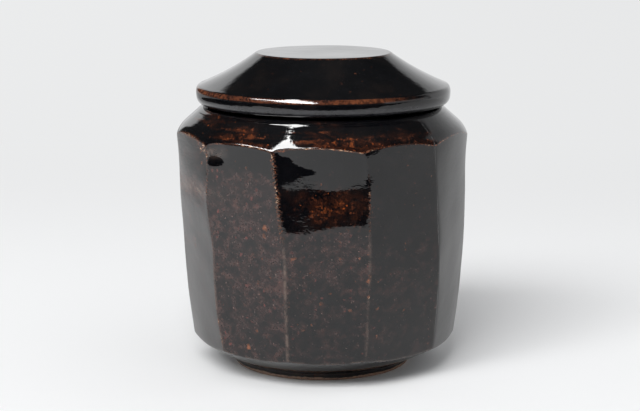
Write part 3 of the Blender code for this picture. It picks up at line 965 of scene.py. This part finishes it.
# Pale floor. The camera sees it pale all over, and other rays see it darker on the right and at the
# back left, as the room is there. Further back it shines by itself, as the backdrop.
FLOOR = 6.0
floor = flat_object("floor", rectangle(-FLOOR, -FLOOR, FLOOR, FLOOR, 0))
paper, g = new_material("floor_paper")
path = g.node("ShaderNodeLightPath")
spot = g.node("ShaderNodeSeparateXYZ", {0: g.node("ShaderNodeTexCoord").outputs["Object"]})
side = g.ramp(spot.outputs["X"], -0.30, 0.30, 0.92, 0.69)
back_left = g.times(g.ramp(spot.outputs["X"], -0.22, -0.34), g.ramp(spot.outputs["Y"], 0.08, 0.20))
unseen = g.minus(1.0, path.outputs["Is Camera Ray"])
fall = g.minus(1.0, g.times(g.times(back_left, unseen), 0.38))
side = g.times(side, fall)
sheet = g.blend(path.outputs["Is Camera Ray"], side, PAPER)
matte = g.node("ShaderNodeBsdfDiffuse", {"Color": sheet}).outputs[0]
haze = g.times(g.ramp(spot.outputs["X"], -0.5, 0.5, 0.842, 0.815), fall)
backdrop = g.node("ShaderNodeEmission", {"Color": BACKDROP, "Strength": haze}).outputs[0]
shown = g.larger(path.outputs["Is Camera Ray"], path.outputs["Is Glossy Ray"])
shown = g.larger(shown, path.outputs["Is Transmission Ray"])
far = g.times(g.ramp(spot.outputs["Y"], 0.10, 0.55), shown)
g.node("ShaderNodeOutputMaterial", {
    "Surface": g.node("ShaderNodeMixShader", {0: far, 1: matte, 2: backdrop}).outputs[0],
})
floor.data.materials.append(paper)


def card(name, corners, strength):
    """Flat stage card that only reflections see, shining at a strength."""
    made = flat_object(name, corners)
    surface, g = new_material(name)
    g.node("ShaderNodeOutputMaterial", {
        "Surface": g.node("ShaderNodeEmission", {"Color": rgb(1, 1, 1), "Strength": strength}).outputs[0],
    })
    made.data.materials.append(surface)
    made.visible_camera = False
    made.visible_diffuse = False
    made.visible_shadow = False


# The table ends to the left and in front, and the room is dark there
CARD_Z, CARD_FAR, DARK = 0.002, 3, 0.02
TABLE_LEFT, TABLE_FRONT, TABLE_BACK = -0.42, -0.33, 0.5
card("dark_left", rectangle(-CARD_FAR, TABLE_FRONT, TABLE_LEFT, TABLE_BACK, CARD_Z), DARK)
card("dark_front", rectangle(-CARD_FAR, -CARD_FAR, CARD_FAR, TABLE_FRONT, CARD_Z), DARK)

# Room as gloss sees it, by azimuth (from straight behind towards +X) and rise in radians: a bright
# wall with a slanting left edge, dimmer higher up on its right, a pale panel at the far right and a
# dim ceiling. Diffuse light gets a soft fill, stronger from the right, and the camera sees it pale.
world = bpy.data.worlds.new("studio")
bpy.context.scene.world = world
world.use_nodes = True
g = Graph(world.node_tree)
way = g.node("ShaderNodeTexCoord").outputs["Generated"]
x, y, z = g.node("ShaderNodeSeparateXYZ", {0: way}).outputs
azimuth = g.math("ARCTAN2", x, y)
rise = g.math("ARCSINE", z)
left_edge = g.ramp(g.plus(azimuth, g.times(rise, 0.40)), -0.395, -0.350)
sink = g.larger(g.ramp(azimuth, -0.05, 0.20, 1.0, 0.0), g.ramp(rise, 0.16, 0.66, 0.92, 0.46))
right_step = g.ramp(azimuth, 0.30, 0.55, 1.0, 0.82)
right_edge = g.ramp(azimuth, 1.32, 1.15)
wall_top = g.ramp(azimuth, 0.46, 0.70, 0.50, 0.665)
below_top = g.ramp(g.minus(rise, wall_top), 0.045, -0.04)
level = g.times(g.times(left_edge, right_step), g.times(right_edge, below_top))
level = g.times(level, sink)
panel = g.times(g.ramp(azimuth, 1.15, 1.32), g.ramp(azimuth, 2.20, 2.12))
panel = g.times(panel, g.ramp(rise, 0.30, 0.20, 0.0, 0.55))
level = g.larger(level, panel)
level = g.larger(level, g.ramp(rise, 0.7, 1.3, 0.035, 0.085))
path = g.node("ShaderNodeLightPath")
filled = g.larger(level, g.ramp(x, -0.1, 0.7, 0.25, 0.62))
level = g.between(path.outputs["Is Diffuse Ray"], level, filled)
level = g.between(path.outputs["Is Camera Ray"], level, 0.84)
g.node("ShaderNodeOutputWorld", {
    "Surface": g.node("ShaderNodeBackground", {"Color": ROOM, "Strength": level}).outputs[0],
})


def toward(azimuth, elevation):
    """Unit vector to an azimuth (from the front towards +X) and elevation, in degrees."""
    a, e = math.radians(azimuth), math.radians(elevation)
    return Vector((math.sin(a) * math.cos(e), -math.cos(a) * math.cos(e), math.sin(e)))


def lamp(name, azimuth, elevation, distance, wide, tall, radiance, roll):
    """Area light that faces the pot. It looks so many degrees wide and tall from there."""
    data = bpy.data.lights.new(name, "AREA")
    data.shape = "RECTANGLE"
    data.size = 2 * distance * math.tan(math.radians(wide / 2))
    data.size_y = 2 * distance * math.tan(math.radians(tall / 2))
    data.energy = radiance * math.pi * data.size * data.size_y
    made = add_object(name, data)
    out = toward(azimuth, elevation)
    a = math.radians(azimuth)
    level = Vector((math.cos(a), math.sin(a), 0))
    steep = out.cross(level)
    turn = math.radians(roll)
    across = level * math.cos(turn) + steep * math.sin(turn)
    upward = out.cross(across)
    frame_axes = Matrix((across, upward, out)).transposed().to_4x4()
    made.matrix_world = Matrix.Translation(out * distance + Vector((0, 0, LAMP_AIM_Z))) @ frame_axes
    made.visible_camera = False
    return made


# One lamp for the gloss and one for the soft light
LAMP_AIM_Z = 0.09
sweep = lamp("low_light", -39.0, 30.0, 3.0, 58, 10.0, 27.0, roll=-9.0)
sweep.visible_diffuse = False
broad = lamp("broad_light", -27, 43, 3.1, 46, 24, 9.5, roll=18.0)
broad.visible_glossy = False

# Tall tapering window of light, from low in front to high on the left, as (azimuth, elevation)
# seen from the front of the shoulder
WINDOW = ((-48, 33), (-46, 42), (-50, 55), (-64, 68), (-86, 75.0), (-100.6, 74.6), (-98.8, 76.4),
          (-71.7, 76.2), (-42.7, 65.7), (-30, 55.8), (-21.2, 47.1), (-16.9, 44.5), (-17, 33))
WINDOW_FROM = Vector((-0.014, -0.053, 0.092))
WINDOW_DISTANCE, WINDOW_STRENGTH = 3.0, 17.0
card("window_light", [WINDOW_FROM + WINDOW_DISTANCE * toward(*spot) for spot in WINDOW], WINDOW_STRENGTH)

FOCAL_PIXELS, IMAGE_WIDTH, SENSOR_WIDTH = 1765.0, 640.0, 36.0
DEGREES_DOWN = 10.68
camera_data = bpy.data.cameras.new("camera")
camera_data.sensor_width = SENSOR_WIDTH
camera_data.lens = FOCAL_PIXELS / IMAGE_WIDTH * SENSOR_WIDTH
camera_data.clip_start, camera_data.clip_end = 0.01, 50.0
camera = add_object("camera", camera_data)
camera.location = (-0.00075, -0.6625, 0.1846)
camera.rotation_euler = (math.radians(90 - DEGREES_DOWN), 0, 0)
bpy.context.scene.camera = camera
bpy.context.scene.view_settings.view_transform = "Standard"
